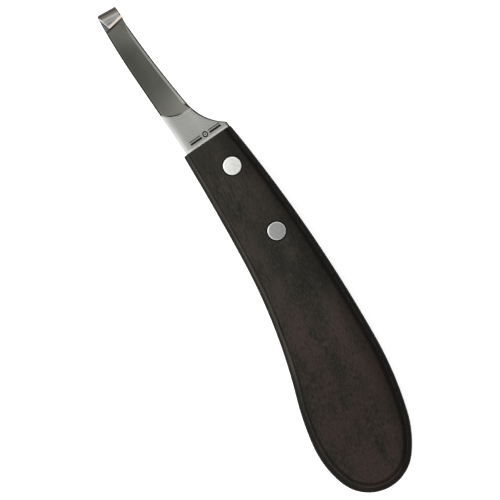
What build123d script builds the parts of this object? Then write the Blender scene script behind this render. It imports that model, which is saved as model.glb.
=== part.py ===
"""Farrier's hoof knife: a slotted hardwood handle, a steel blade with a curled tip, and two cutler's rivets.

The knife lies on one flat of its handle, with the curled tip upwards. While it is built, X runs along the
blade towards the tip, Y across it towards the hollow side of the handle, and X = 0 is the handle's front
face. At the end every piece moves so that the origin is under the middle of the whole knife, on the
surface that it lies on.
"""

from build123d import *
import math
import os

# Handle: one block, cut square at the front
HANDLE_THICK = 17.0
HANDLE_START = (1.5, 10.65)  # just ahead of the front face, on the hollow side
HANDLE_START_HEADING = 176.7  # degrees from +X, almost straight back
HANDLE_ARCS = (  # tangent arcs round the outline: radius, and turn in degrees, which is positive to the left
    (1043.0, -2.55),  # hollow side, the straight beginning
    (224.0, -14.57),  # the hollow where the fingers lie
    (106.0, 10.27),  # out of the hollow again
    (38.3, 26.63),  # on to the bulb
    (16.4, 123.9),  # round the bulb's end
    (42.6, 22.23),  # off the bulb
    (140.0, 12.47),  # the back, under the palm
    (558.0, 10.17),  # the back, nearly straight to the front
)
EDGE_ROUND = 3.4  # routed round-over along both flats
FRONT_BREAK = 0.5  # eased edges of the front face

# Saw kerf that takes the tang
KERF_DEPTH = 66.0
KERF_PLAY = 0.05  # above and below the tang
SAW_RADIUS = 75.0
SAW_CENTRE_Y = 1.0

# Blade stock and side profile
STOCK_THICK = 2.4
BLADE_BOTTOM = (HANDLE_THICK - STOCK_THICK) / 2
BOW_START = 8.0  # the blade is flat up to here, then bows up
BOW_RADIUS = 230.0
BEND_SKEW = 5.5  # degrees between the line of the bends and Y
CURL_CENTRE_X = 57.4
CURL_OUTER = 4.3
CURL_INNER = 3.0
CURL_SPAN = 205.0  # degrees, before the end is trimmed

# Hollow grind on the upper face, from the plunge to the tip
GRIND_THICK = 1.75  # at the plunge; it thins to the curl's own thickness
GRIND_START = 12.0
STOCK_END = 22.0  # full thickness reaches no further than this
PLUNGE_CENTRE = (28.7, -0.9)
PLUNGE_RADIUS = 14.0
PLUNGE_SLOPE = 0.6  # how far the plunge wall leans out for each millimetre of height

# Plan outline of the blade
SPINE_Y = 9.3
SPINE_STRAIGHT_END = 36.0
SPINE_RADIUS = 262.0
SPINE_TURN = 6.5  # degrees from the straight to past the curl
PLAN_END_X = 66.0  # past the curl
HOOK_SIDE = (56.4, 0.0)  # where the curl's unsharpened side begins
EDGE_END = (56.0, 0.3)  # where the sharpened edge stops at the curl
EDGE_START = (16.5, -1.85)
EDGE_HEADING = 5.8  # degrees from +X, at its start
FLARE_RADIUS = 20.0
FLARE_TURN = 49.4
RICASSO_Y = -10.35

# Tang inside the handle
TANG_Y = -2.5
TANG_HALF = 7.2
TANG_ROUND_X = -55.0
TANG_STEP_X = -10.0  # the ricasso's lower edge slopes to the tang's between here and the shoulder
SHOULDER_X = -2.0
SHOULDER_RADIUS = 4.6

# Edge work on the blade
SPINE_ROUND_TOP = 1.2
SPINE_ROUND_GROUND = 0.35
SPINE_ROUND_BOTTOM = 0.8
BEVEL_WIDTH = 1.3
BEVEL_DEPTH = 0.9

# Free end of the curl
FLAP_END = ((57.5, 0.0), (56.4, 7.0))  # upper edge of the bevelled end, seen from above
FLAP_BEVEL_LEAN = 35.0  # degrees from upright
FLAP_SIDE = ((63.0, 8.55), (55.0, 6.45))  # tapered side towards the spine

# Cutler's rivets: a male half pressed into the tube of a female half
RIVET_X = {"front": -13.2, "rear": -43.1}
RIVET_Y = -2.5
HEAD_RADIUS = 3.57
HEAD_THICK = 1.2
HEAD_SINK = 0.1  # below the wood, so that the handle lies flat
HEAD_CROWN = 0.2  # the rim of each head is this much lower than its middle
SHANK_RADIUS = 1.6
SHANK_LENGTH = 11.0  # under the male head
TUBE_RADIUS = 2.4
TUBE_FLOOR = 3.0  # height at which the tube's bore ends
TUBE_GAP = 0.4  # left between the tube's end and the male head
HOLE_PLAY = 0.05
COUNTERBORE_PLAY = 0.08

BIG = 100.0  # reaches past everything
STAND = (Align.CENTER, Align.CENTER, Align.MIN)  # a solid that stands on its own origin


def cylinder(x, y, radius, low, high):
    return Pos(x, y, low) * Cylinder(radius, high - low, align=STAND)


def nearest_edge(shape, x, y, z):
    return shape.edges().sort_by_distance(Vector(x, y, z))[0]


def handle_outline():
    """The handle's plan as a face on XY: a chain of tangent arcs, cut square at the front."""
    edges = []
    start = Vector(*HANDLE_START)
    heading = Vector(1, 0).rotate(Axis.Z, HANDLE_START_HEADING)
    for radius, turn in HANDLE_ARCS:
        arc = JernArc(start, heading, radius, turn)
        edges.append(arc)
        start, heading = arc @ 1, arc % 1
    edges.append(Line(start, Vector(*HANDLE_START)))
    behind_front = Rectangle(2 * BIG, BIG, align=(Align.MAX, Align.CENTER))
    return make_face(edges) & behind_front


def kerf():
    """The slot left by a circular saw fed into the front of the handle."""
    low = BLADE_BOTTOM - KERF_PLAY
    high = BLADE_BOTTOM + STOCK_THICK + KERF_PLAY
    saw_x = SAW_RADIUS - KERF_DEPTH
    saw = cylinder(saw_x, SAW_CENTRE_Y, SAW_RADIUS, low, high)
    mouth = Box(BIG, BIG, high - low, align=(Align.MIN, Align.CENTER, Align.MIN))
    return saw + Pos(saw_x, 0, low) * mouth


def rivet_hole(x):
    """The through hole and the two counterbores of one rivet."""
    counterbore = HEAD_RADIUS + COUNTERBORE_PLAY
    seat = HEAD_SINK + HEAD_THICK
    hole = cylinder(x, RIVET_Y, TUBE_RADIUS + HOLE_PLAY, -1, HANDLE_THICK + 1)
    hole += cylinder(x, RIVET_Y, counterbore, -1, seat)
    hole += cylinder(x, RIVET_Y, counterbore, HANDLE_THICK - seat, HANDLE_THICK + 1)
    return hole


def make_handle():
    handle = extrude(handle_outline(), HANDLE_THICK)
    rims = handle.edges().filter_by(
        lambda edge: abs(edge.tangent_at(0.5).Z) < 0.5 and (edge @ 0.5).X < -FRONT_BREAK
    )
    handle = fillet(rims, EDGE_ROUND)
    front = handle.faces().filter_by(Axis.X).sort_by(Axis.X)[-1]
    handle = chamfer(front.edges(), FRONT_BREAK)
    handle -= kerf()
    for x in RIVET_X.values():
        handle -= rivet_hole(x)
    return handle


def blade_plan():
    """The whole blade and tang seen from above, as a tall prism."""
    heading = Vector(1, 0).rotate(Axis.Z, EDGE_HEADING)
    edge = TangentArc([Vector(*EDGE_START), Vector(*EDGE_END)], tangent=heading)
    flare = JernArc(EDGE_START, heading * -1, FLARE_RADIUS, FLARE_TURN)
    spine = JernArc((SPINE_STRAIGHT_END, SPINE_Y), (1, 0), SPINE_RADIUS, -SPINE_TURN)
    shoulder = JernArc((SHOULDER_X, SPINE_Y), (0, -1), SHOULDER_RADIUS, -90)
    tang_low = TANG_Y - TANG_HALF
    tang_high = TANG_Y + TANG_HALF
    tang_corner = (TANG_STEP_X, tang_low)
    curl_side = Polyline(EDGE_END, HOOK_SIDE, (PLAN_END_X, HOOK_SIDE[1]), spine @ 1)
    ricasso_side = Polyline((TANG_ROUND_X, tang_low), tang_corner, (SHOULDER_X, RICASSO_Y), flare @ 1)
    edges = [
        edge,
        curl_side,
        spine,
        Line(spine @ 0, (SHOULDER_X, SPINE_Y)),
        shoulder,
        Line(shoulder @ 1, (TANG_ROUND_X, tang_high)),
        CenterArc((TANG_ROUND_X, TANG_Y), TANG_HALF, 90, 180),
        ricasso_side,
        flare,
    ]
    return extrude(Pos(0, 0, -BIG / 2) * make_face(edges), BIG)


def polar(centre, radius, degrees):
    """A point on the XZ plane, at an angle from +X towards +Z."""
    angle = math.radians(degrees)
    return Vector(centre.X + radius * math.cos(angle), 0, centre.Z + radius * math.sin(angle))


def arc_xz(centre, radius, begin, end):
    middle = (begin + end) / 2
    return ThreePointArc(*(polar(centre, radius, angle) for angle in (begin, middle, end)))


def bow_centre():
    return Vector(BOW_START, 0, BLADE_BOTTOM + BOW_RADIUS)


def curl_centre():
    """The curl's outside is tangent to the bowed underside of the blade."""
    rise = math.sqrt((BOW_RADIUS - CURL_OUTER) ** 2 - (CURL_CENTRE_X - BOW_START) ** 2)
    return Vector(CURL_CENTRE_X, 0, bow_centre().Z - rise)


def curl_start():
    """The angle at which the bow runs into the curl, in degrees from +X towards +Z."""
    away = curl_centre() - bow_centre()
    return math.degrees(math.atan2(away.Z, away.X))


def across(edges):
    """Extrudes a closed side profile across the blade, along the skewed line of its bends."""
    along_bends = Vector(0, 1).rotate(Axis.Z, -BEND_SKEW)
    return extrude(Pos(along_bends * (-BIG / 2)) * make_face(edges), BIG, dir=along_bends)


def stock_strip():
    """Tang and ricasso at full stock thickness, running on into the start of the bow."""
    centre = bow_centre()
    stop = -90 + math.degrees(math.asin((STOCK_END - BOW_START) / BOW_RADIUS))
    under = arc_xz(centre, BOW_RADIUS, -90, stop)
    over = arc_xz(centre, BOW_RADIUS - STOCK_THICK, stop, -90)
    back_x = TANG_ROUND_X - 2 * TANG_HALF
    top, bottom = BLADE_BOTTOM + STOCK_THICK, BLADE_BOTTOM
    flat = Polyline(over @ 1, Vector(back_x, 0, top), Vector(back_x, 0, bottom), under @ 0)
    return across([under, Line(under @ 1, over @ 0), over, flat])


def ground_strip():
    """The hollow-ground part of the blade with the curl at its end."""
    start, curl = curl_start(), curl_centre()
    under = arc_xz(bow_centre(), BOW_RADIUS, -90, start)
    outer = arc_xz(curl, CURL_OUTER, start, start + CURL_SPAN)
    inner = arc_xz(curl, CURL_INNER, start + CURL_SPAN, start)
    back = polar(Vector(0, 0, 0), 1, start - 90)
    face = TangentArc(inner @ 1, Vector(GRIND_START, 0, BLADE_BOTTOM + GRIND_THICK), tangent=back)
    return across([under, outer, Line(outer @ 1, inner @ 0), inner, face, Line(face @ 1, under @ 0)])


def plunge():
    """The hollow that the grinding wheel leaves in front of the ricasso."""
    height = 2 * STOCK_THICK
    cone = Cone(PLUNGE_RADIUS, PLUNGE_RADIUS + PLUNGE_SLOPE * height, height, align=STAND)
    return Pos(*PLUNGE_CENTRE, BLADE_BOTTOM + STOCK_THICK / 3) * cone


def make_ricasso_and_tang():
    solid = stock_strip() & blade_plan()
    beside_ricasso = (BOW_START / 2, SPINE_Y)
    solid = fillet(nearest_edge(solid, *beside_ricasso, BLADE_BOTTOM + STOCK_THICK), SPINE_ROUND_TOP)
    solid = fillet(nearest_edge(solid, *beside_ricasso, BLADE_BOTTOM), SPINE_ROUND_BOTTOM)
    return solid - plunge()


def above_curl_centre(face):
    """A prism over a plan face, from the curl's centre up, so that it cuts only the curl's free end."""
    return extrude(Pos(0, 0, curl_centre().Z) * face, BIG)


def flap_side_cut():
    """Tapers the free end of the curl on its spine side."""
    tip, tail = FLAP_SIDE
    return above_curl_centre(make_face(Polyline(tip, tail, (tail[0], BIG), (tip[0], BIG), close=True)))


def flap_end_cut():
    """Cuts the curl's free end on a slant, with a bevel that faces up and back."""
    right, left = (Vector(x, y, curl_centre().Z + CURL_OUTER) for x, y in FLAP_END)
    along = (left - right).normalized()
    back = along.rotate(Axis.Z, 90)
    lean = math.radians(FLAP_BEVEL_LEAN)
    outward = back * math.cos(lean) + Vector(0, 0, math.sin(lean))
    behind = Plane(origin=right, x_dir=along, z_dir=outward) * Box(BIG, BIG, BIG, align=STAND)
    return behind & above_curl_centre(Rectangle(2 * BIG, 2 * BIG))


def make_ground_blade():
    solid = ground_strip() & blade_plan()
    x = (EDGE_START[0] + EDGE_END[0]) / 2
    under = BLADE_BOTTOM + (x - BOW_START) ** 2 / (2 * BOW_RADIUS)
    over = under + GRIND_THICK
    solid = fillet(nearest_edge(solid, x, SPINE_Y, under), SPINE_ROUND_BOTTOM)
    solid = fillet(nearest_edge(solid, x, SPINE_Y, over), SPINE_ROUND_GROUND)
    upper_face = solid.faces().sort_by_distance(Vector(x, SPINE_Y / 2, over))[0]
    solid = chamfer(nearest_edge(solid, x, 0, over), BEVEL_WIDTH, BEVEL_DEPTH, reference=upper_face)
    return solid - flap_side_cut() - flap_end_cut()


def make_blade():
    """Tang, ricasso, ground blade and curl, all one piece of steel."""
    blade = make_ricasso_and_tang() + make_ground_blade()
    for x in RIVET_X.values():
        blade -= cylinder(x, RIVET_Y, TUBE_RADIUS + HOLE_PLAY, 0, HANDLE_THICK)
    return blade


def turned(points):
    """A turned piece on the Z axis: a crowned face from points[0] to points[1], then straight runs back."""
    middle, rim = (Vector(r, 0, z) for r, z in points[:2])
    drop = rim.Z - middle.Z
    crown = ThreePointArc(middle, Vector(rim.X / 2, 0, middle.Z + drop / 4), rim)
    rest = Polyline(*(Vector(r, 0, z) for r, z in points[1:]), middle)
    return revolve(make_face([crown, rest]), Axis.Z)


def make_rivet_female():
    """The half whose head is on the lower flat, with a tube up through the handle."""
    seat = HEAD_SINK + HEAD_THICK
    tube_end = HANDLE_THICK - seat - TUBE_GAP
    return turned([
        (0, HEAD_SINK),
        (HEAD_RADIUS, HEAD_SINK + HEAD_CROWN),
        (HEAD_RADIUS, seat),
        (TUBE_RADIUS, seat),
        (TUBE_RADIUS, tube_end),
        (SHANK_RADIUS, tube_end),
        (SHANK_RADIUS, TUBE_FLOOR),
        (0, TUBE_FLOOR),
    ])


def make_rivet_male():
    """The half whose head is on the upper flat, with a shank down into the tube."""
    face = HANDLE_THICK - HEAD_SINK
    seat = face - HEAD_THICK
    return turned([
        (0, face),
        (HEAD_RADIUS, face - HEAD_CROWN),
        (HEAD_RADIUS, seat),
        (SHANK_RADIUS, seat),
        (SHANK_RADIUS, seat - SHANK_LENGTH),
        (0, seat - SHANK_LENGTH),
    ])


def make_pieces():
    pieces = {"handle": make_handle(), "blade": make_blade()}
    for place, x in RIVET_X.items():
        pieces[f"{place}_rivet_female"] = Pos(x, RIVET_Y, 0) * make_rivet_female()
        pieces[f"{place}_rivet_male"] = Pos(x, RIVET_Y, 0) * make_rivet_male()
    return pieces


def main():
    pieces = make_pieces()
    whole = Compound(list(pieces.values())).bounding_box()
    centre = whole.center()
    os.makedirs("parts", exist_ok=True)
    for name, piece in pieces.items():
        export_step(Pos(-centre.X, -centre.Y, -whole.min.Z) * piece, f"parts/{name}.step")


main()
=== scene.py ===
"""A farrier's hoof knife on a pale table: laminated hardwood handle, satin steel blade, two rivets."""
import functools
import math

import bpy
import numpy as np
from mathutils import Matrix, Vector, geometry


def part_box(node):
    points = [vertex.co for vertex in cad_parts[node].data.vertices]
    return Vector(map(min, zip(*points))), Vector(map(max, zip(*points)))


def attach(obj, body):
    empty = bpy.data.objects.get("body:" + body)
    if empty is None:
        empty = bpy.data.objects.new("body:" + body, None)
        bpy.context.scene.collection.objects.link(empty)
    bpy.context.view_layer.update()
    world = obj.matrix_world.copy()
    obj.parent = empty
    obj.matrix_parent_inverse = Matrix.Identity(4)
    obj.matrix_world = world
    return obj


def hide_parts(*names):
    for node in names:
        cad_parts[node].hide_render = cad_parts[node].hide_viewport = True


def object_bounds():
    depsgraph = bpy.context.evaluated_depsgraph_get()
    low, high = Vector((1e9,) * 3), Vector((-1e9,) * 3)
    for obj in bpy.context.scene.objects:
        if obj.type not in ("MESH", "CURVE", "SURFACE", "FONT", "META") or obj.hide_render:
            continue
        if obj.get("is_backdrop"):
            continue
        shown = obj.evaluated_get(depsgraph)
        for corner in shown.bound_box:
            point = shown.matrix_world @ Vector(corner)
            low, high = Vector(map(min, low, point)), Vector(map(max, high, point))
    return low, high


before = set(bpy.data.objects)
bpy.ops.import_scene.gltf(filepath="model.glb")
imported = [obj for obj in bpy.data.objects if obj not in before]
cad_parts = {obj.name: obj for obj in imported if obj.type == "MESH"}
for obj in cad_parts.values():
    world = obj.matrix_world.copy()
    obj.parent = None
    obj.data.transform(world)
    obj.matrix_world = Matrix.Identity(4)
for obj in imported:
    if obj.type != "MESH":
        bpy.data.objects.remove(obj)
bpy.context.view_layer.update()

MM = 0.001

# Camera: straight down on the knife, the tip up and to the left
VIEW_TURN = math.radians(-124.4)  # turn of the picture's right-hand direction from +X
VIEW_SPAN = 190.0 * MM  # width of the picture at the knife
VIEW_HEIGHT = 13.0 * MM  # height above the table at which that width holds
VIEW_CENTRE = (-0.66 * MM, -0.06 * MM)
LENS = 250.0
SENSOR = 36.0
SIGHT = 10.0  # metres

# Studio: brightness of the walls, and the soft patches that add to it or take from it
WALLS = 1.6
# direction right, up and towards the viewer in the picture, degrees from it where full and gone, strength
PATCHES = (
    (0.0, 0.0, 1.0, 12.0, 52.0, -1.4),  # the dim ceiling
    (-0.385, -0.263, 1.0, 10.0, 24.0, 0.6),
    (-0.06, 0.05, 1.0, 3.0, 14.0, 0.55),
    (-1.0, 0.1, 0.6, 15.0, 40.0, 1.0),
    (1.0, -0.3, 0.5, 15.0, 50.0, -0.7),
)
LIGHT_PLACE = (-1100.0, 200.0, 700.0)  # right and up in the picture, and above the table, in millimetres
LIGHT_SIZE = 700.0 * MM
LIGHT_WATTS = 6.0
TABLE_REACH = 4.0  # metres

# Handle
EDGE_DROP = 3.4 * MM  # depth of the routed round-over below each flat
ROUND_ROWS = 14
# width of the round-over, in millimetres, at shares of the outline from the hollow side to the back
ROUND_PLACES = (0.0, 0.15, 0.33, 0.43, 0.52, 0.62, 0.8, 1.0)
ROUND_WIDTHS = (2.9, 3.2, 3.7, 5.0, 4.9, 4.8, 4.6, 3.8)
ROUND_WINDOW = 31  # steps of the outline over which those widths are smoothed, an odd number
STEP = 0.8 * MM  # along the outline
WALL_ROWS = 4
SQUARE_OVER = 6.0 * MM  # the round-over's direction turns square to the front over this length
FRONT_EASE = 0.5 * MM
FLAT_STEPS = 64  # across the front, at the flat and at the kerf
KERF_STEPS = 28
FLAT_SPACING = 1.5  # between the vertices of a level face, in millimetres
KERF_SPACING = 2.5
ROOM = 0.55  # of those vertices from the face's edges, as a share of their spacing
KERF_HIGH = 9.75 * MM
KERF_DEPTH = 66.0 * MM
SAW_RADIUS = 75.0 * MM
SAW_OFFSET = 1.0 * MM  # of the saw's centre from the blade's axis, towards the hollow side
SAW_STEPS = 40
BORE = 2.45 * MM
POCKET = 3.7 * MM  # counterbore in the wood, with a gap round the rivet's head that is darkened by painted shade
POCKET_EASE = 0.22 * MM
POCKET_DEPTH = 1.3 * MM
CHIP_Y = 3.4 * MM  # a chip in the front's upper edge: its place from the blade's axis
CHIP_HALF = 0.75 * MM
CHIP_DEEP = 0.6 * MM
CIRCLE = 64  # points on a circle
CREASE = 35.0  # degrees between faces that meet in a sharp edge
BLADE_CREASE = 20.0
RIVET_CREASE = 32.0
CAD_TOLERANCE = 0.002 * MM
ON_PLANE = 1e-4 * MM
NEAREST = 0.05 * MM  # between two points of the outline

# Wood, in millimetres and linear colours
VENEER = 0.78
GRAIN_TURN = math.radians(11.4)  # of the grain from the blade's axis
VENEER_SHIFT = (3.7, 11.3)  # of the grain's pattern from one veneer to the next
# fibre, fine grain, flecks, mottle and patches: features per millimetre each way, detail and roughness
GRAIN_NOISES = (
    ((0.16, 1.7, 0.9), 4, 0.62),
    ((0.55, 3.6, 2.0), 2, 0.6),
    ((0.3, 2.6, 1.5), 2, 0.6),
    ((0.045, 0.1, 0.2), 4, 0.6),
    ((0.02, 0.045, 0.06), 2, 0.5),
)
DARK_GRAIN = (0.0170, 0.0162, 0.0138)
OLIVE_GRAIN = (0.0420, 0.0375, 0.0315)
RED_GRAIN = (0.0480, 0.0290, 0.0245)
# the pores' colour, also laid on as painted shade on the sides and along the back
PORE_AND_SHADE = (0.0045, 0.0042, 0.0036)
CUT_VENEER = (0.050, 0.047, 0.037)
GAP_SHADE = (0.002, 0.002, 0.002)  # painted shade in the gap round a rivet's head
GAP_SHADE_RADII = (4.05, 3.9)
BACK_SCALE = 100.0
BACK_SKIP = 25  # steps of the outline round the butt that its back's curve leaves out
BACK_DEGREE = 4

# Steel
DARK_RICASSO = (0.49, 0.49, 0.465)
LIGHT_RICASSO = (0.58, 0.58, 0.555)
FRONT_HIGHLIGHT = (1.0, 0.98, 0.94)  # painted highlight: the bright strip along the handle's front
RIM_STEEL = (0.36, 0.365, 0.355)  # the ricasso's rounded side towards the spine
DULL_AND_SHADED_STEEL = (0.013, 0.011, 0.009)  # near black: the unpolished narrow sides and the outside of the bend, darkened as painted shade, and the painted shadow under the flap
FLAP_STEEL = (0.40, 0.405, 0.39)  # the curl's upper part
FOLD_SHADE = (0.075, 0.063, 0.05)  # painted shade on the curl's upper part, where it turns over
CUT_END_HIGHLIGHT = (0.68, 0.60, 0.51)  # the curl's freshly cut end, with a painted highlight on its bevel
TAPER_HIGHLIGHT = (0.30, 0.305, 0.295)  # painted highlight on the curl's tapered side, which faces the light
SHADED_STEEL = (0.13, 0.135, 0.13)  # beside that tapered side
GROUND_BLUE = 0.88  # share of blue in the greys of the ground face and of the bevel
BEVEL_BLUE = 0.92

# Etched mark, in millimetres ahead of the handle and across the blade
ETCHED = (0.006, 0.006, 0.006)
MARK_PLACE = (2.7, -0.9)
RING_RADIUS = 1.0
RING_SQUASH = 1.25
RING_HALF = (0.3, 0.22)  # the ring is gone and full at these distances from its line
DOT_RADIUS = (0.36, 0.28)  # the dot is gone and full at these distances from its centre
BAR_SPAN = (1.7, 1.8, 6.8, 6.9)  # the bars are gone, full, full and gone at these distances from there
BAR_LINES = ((-0.35, 0.45, 0.37), (0.65, 0.22, 0.15))  # each line's place, and where it is gone and full

# Rivets' metal and the table
DARK_HEAD = (0.45, 0.45, 0.44)
LIGHT_HEAD = (0.53, 0.53, 0.52)
LIT_FRONT_HEAD = (0.76, 0.765, 0.74)
HEAD_RIM_HIGHLIGHT = (0.70, 0.70, 0.69)
FRONT_RIM_HIGHLIGHT = (0.93, 0.93, 0.92)
HEAD_SPECK = (0.35, 0.35, 0.33)
RIM_HIGHLIGHT_RADII = (2.85, 3.05, 5.0, 6.0)
TABLE_COLOURS = ((0.93, 0.93, 0.93), (0.95, 0.95, 0.95))

# Blade, in millimetres: X ahead of the handle's front face, Y from the blade's axis towards the spine,
# and runs along its underside from the front face
BLADE_BOTTOM = 7.3
STOCK = 2.4
BOW_START = 8.0  # the blade is flat up to here, then bows up
BOW_RADIUS = 230.0
SKEW = math.radians(5.5)  # between the line of the bends and Y
CURL_X = 57.4
CURL_OUTER = 4.3
CURL_INNER = 3.0
GROUND_FROM = (12.0, 1.75)  # where the ground face begins, and its thickness there
PLUNGE = (28.7, -0.9)
PLUNGE_RADIUS = 14.75
PLUNGE_START = PLUNGE[0] - PLUNGE_RADIUS
PLUNGE_WALL = 0.5  # width of the plunge's wall, seen from above
PLUNGE_REACH = (0.6, 9.0)  # rows this near to its start follow its arc, and farther rows don't
HOLLOW = 0.12  # depth of the ground face below a flat one
SPINE_Y = 9.3
SPINE_STRAIGHT_END = 36.0
SPINE_RADIUS = 262.0
EDGE_START = (16.5, -1.85)
EDGE_END = (56.0, 0.3)
EDGE_HEADING = math.radians(5.8)
FLARE_RADIUS = 20.0
RICASSO_Y = -10.35
HOOK_Y = 0.0  # the curl's unsharpened side
HOOK_EASE = 0.4
TANG_Y = -2.5
TANG_HALF = 7.2
TANG_ROUND_X = -55.0
TANG_STEP_X = -10.0
SHOULDER_X = -2.0
SHOULDER_RADIUS = 4.6
FLAP_END_X = 57.5  # upper edge of the curl's bevelled end, at the axis
FLAP_SLANT = 1.1 / 7.0  # that edge runs back by this much per millimetre towards the spine
FLAP_BEVEL = 0.8  # width of that bevel, seen from above
FLAP_SIDE = (55.0, 6.45)  # a point on the line of the curl's tapered side, towards the spine
FLAP_LEAN = 2.1 / 8.0  # slope of that line

# Blade's section: runs over which it changes, and sizes seen from above and down from its face
TANG_RUNS = (-4.0, -1.0)
GROUND_RUNS = (PLUNGE_START - 0.2, PLUNGE_START + 0.5)
BEVEL_RUNS = (14.0, 17.5)
BEVEL_END_RUNS = (50.0, 57.0)
HOLLOW_END_RUNS = (48.0, 56.0)
CURL_RUNS = (52.0, 57.0)
SPINE_ROUNDS = ((2.8, 0.9), (0.8, 0.5))  # upper round-over on the ricasso and along the ground face
LOWER_ROUND = 0.82
CURL_ROUND = 0.3
TANG_ROUND = 0.15
EDGE_EASE = 0.12  # of the lower corner on the edge's side
EDGE_LIP = 0.3  # of the edge's side, below the upper face, or on the bevel above the lower one
FACE_INSETS = (0.6, 1.35)  # of the upper face, then of the corner beside it, without and with the bevel
CORNER_INSETS = (0.15, 0.55)
CORNER_DEPTHS = (0.13, 0.38)
ROUND_POINTS = 7  # of the section on each round-over, then on its upper and its lower face
UPPER_POINTS = 29
LOWER_POINTS = 15
CURL_ROWS = 54
CURL_LENGTH = 10.0  # of the sections' runs over the curl, roughly its length
FITTING_ROUNDS = 40  # of moving a section's points until it fills the outline

# Rivets, in millimetres
CROWNS = (("front", 0.12), ("rear", 0.03))  # height of each head's crown
HEAD_THICK = 1.2
HEAD_ROUND = 0.45
HEAD_FLATTENED = 0.7  # depth of that round as a share of its width
SHANK = 1.6
SHANK_EASE = 0.3
TUBE = 2.4
TUBE_EASE = 0.15
TUBE_FLOOR = 3.0
CAP = 0.3  # radius of the small flat that closes a turned piece

handle_low, handle_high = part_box("handle")
TOP = handle_high.z
MIDDLE = (handle_low.z + TOP) / 2
FRONT = handle_high.x
FRONT_EDGE = FRONT - FRONT_EASE  # where the front's rounded edge begins
RIVETS = {}
for place in ("front", "rear"):
    low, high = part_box(f"{place}_rivet_male")
    RIVETS[place] = Vector(((low.x + high.x) / 2, (low.y + high.y) / 2))
AXIS_Y = RIVETS["front"].y + 2.5 * MM  # the blade's axis, where the saw's centre is measured from


# -------- curves

def cubic_through(points, spacing):
    """Points evenly spaced along a natural cubic spline through the given points."""
    points = np.array(points)
    run = np.concatenate([[0], np.cumsum(np.linalg.norm(np.diff(points, axis=0), axis=1))])
    step = np.diff(run)
    count = len(points)
    matrix = np.eye(count)
    right = np.zeros_like(points)
    for i in range(1, count - 1):
        matrix[i, i - 1:i + 2] = step[i - 1], 2 * (step[i - 1] + step[i]), step[i]
        right[i] = 6 * ((points[i + 1] - points[i]) / step[i] - (points[i] - points[i - 1]) / step[i - 1])
    bend = np.linalg.solve(matrix, right)

    def at(s):
        i = np.clip(np.searchsorted(run, s, side="right") - 1, 0, count - 2)
        h, a, b = step[i][:, None], (run[i + 1] - s)[:, None], (s - run[i])[:, None]
        return (
            (bend[i] * a ** 3 + bend[i + 1] * b ** 3) / (6 * h)
            + (points[i] / h - bend[i] * h / 6) * a
            + (points[i + 1] / h - bend[i + 1] * h / 6) * b
        )

    return at(np.linspace(0, run[-1], max(2, round(run[-1] / spacing) + 1)))


def wall_line():
    """The handle's outline from the CAD node, from the hollow side's front round the butt to the back."""
    height = TOP - EDGE_DROP
    spots = {
        (round(v.co.x, 7), round(v.co.y, 7))
        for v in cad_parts["handle"].data.vertices
        if abs(v.co.z - height) < CAD_TOLERANCE and v.co.x < FRONT_EDGE + 5 * CAD_TOLERANCE
    }
    spot = max(spots, key=lambda p: p[0] + p[1])
    line = [spot]
    spots.remove(spot)
    while spots:
        spot = min(spots, key=lambda p: math.dist(p, line[-1]))
        spots.remove(spot)
        if math.dist(spot, line[-1]) > NEAREST:
            line.append(spot)
    return cubic_through(line, STEP)


def inside(points, loop):
    """Which of the points lie inside a closed loop, by the even-odd rule."""
    x, y = points[:, :1], points[:, 1:2]
    ax, ay = loop[:, 0], loop[:, 1]
    bx, by = np.roll(ax, -1), np.roll(ay, -1)
    crossing = (ay > y) != (by > y)
    reach = ax + (y - ay) / np.where(by == ay, 1, by - ay) * (bx - ax)
    return (crossing & (x < reach)).sum(axis=1) % 2 == 1


def circle(centre, radius, height):
    angles = np.arange(CIRCLE) * 2 * math.pi / CIRCLE
    return [(centre.x + radius * math.cos(a), centre.y + radius * math.sin(a), height) for a in angles]


def smooth(value, low, high):
    """0 below low, 1 above high, and a smooth step between them."""
    t = np.clip((np.asarray(value, float) - low) / (high - low), 0, 1)
    return t * t * (3 - 2 * t)


def between(low, high, share):
    return low + (high - low) * share


# -------- meshes

def add_object(name, data):
    made = bpy.data.objects.new(name, data)
    bpy.context.scene.collection.objects.link(made)
    return made


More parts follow.
